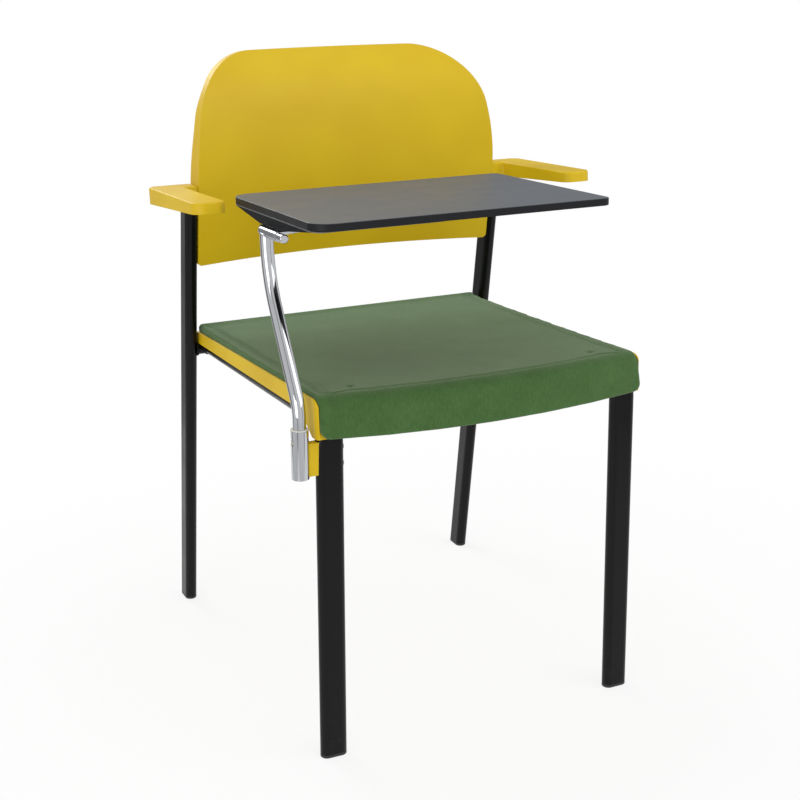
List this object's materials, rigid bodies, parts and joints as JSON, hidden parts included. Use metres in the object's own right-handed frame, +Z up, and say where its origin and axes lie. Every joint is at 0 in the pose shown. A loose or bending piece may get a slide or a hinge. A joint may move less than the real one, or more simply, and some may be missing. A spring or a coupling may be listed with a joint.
{
  "type": "writing tablet armchair",
  "caption": "Steel-framed conference armchair with a green padded seat, yellow back and arms, and a writing tablet on a swivelling chrome post.",
  "frame": {"origin": "on the floor, at the middle of the chair's outline", "axes": "+Z up, the sitter faces -Y, +X at the sitter's left"},
  "size_m": [0.568, 0.5845, 0.815],
  "materials": {
    "frame_black": "satin",
    "glide_black": "moulded",
    "shell_yellow": "satin moulded",
    "pad_green": "woven cover",
    "board_ply": "raw plywood",
    "chrome": "polished",
    "zinc_steel": "zinc plated",
    "bush_nylon": "moulded",
    "tablet_grey": "smooth laminate",
    "tray_black": "moulded"
  },
  "bodies": {
    "chair": {"side_frame_right": "frame_black", "side_frame_left": "frame_black", "rear_crossbar": "frame_black", "front_crossbar": "frame_black", "rear_upright_right": "frame_black", "rear_upright_left": "frame_black", "foot_glide_front_right": "glide_black", "foot_glide_front_left": "glide_black", "foot_glide_rear_right": "glide_black", "foot_glide_rear_left": "glide_black", "seat_shell": "shell_yellow", "seat_board": "board_ply", "seat_pad": "pad_green", "seat_screws": "zinc_steel", "back_shell": "shell_yellow", "back_screws": "zinc_steel", "armrest_right": "shell_yellow", "armrest_left": "shell_yellow", "arm_bracket_right": "zinc_steel", "arm_bracket_left": "zinc_steel", "arm_screws": "zinc_steel", "clamp_block": "shell_yellow", "clamp_screws": "zinc_steel", "post_sleeve": "chrome", "upper_bush": "bush_nylon", "lower_bush": "bush_nylon", "sleeve_plug": "bush_nylon"},
    "post": {"tablet_post": "chrome", "stop_pin": "zinc_steel", "hinge_barrel": "chrome", "hinge_washers": "chrome", "tablet_stop": "chrome"},
    "tablet": {"hinge_axle": "zinc_steel", "hinge_leaf": "chrome", "leaf_screws": "zinc_steel", "tablet_underbody": "tray_black", "tablet_board": "tablet_grey"}
  },
  "joints": [
    {"name": "post_swivel", "type": "hinge", "parent": "chair", "child": "post", "pos_m": [-0.23825, -0.22642, 0.4], "axis": [0, 0, 1], "range_deg": [-75, 0]},
    {"name": "tablet_flip", "type": "hinge", "parent": "post", "child": "tablet", "pos_m": [-0.23825, -0.13462, 0.6445], "axis": [0, -0.9986, 0.0523], "range_deg": [0, 95]}
  ]
}
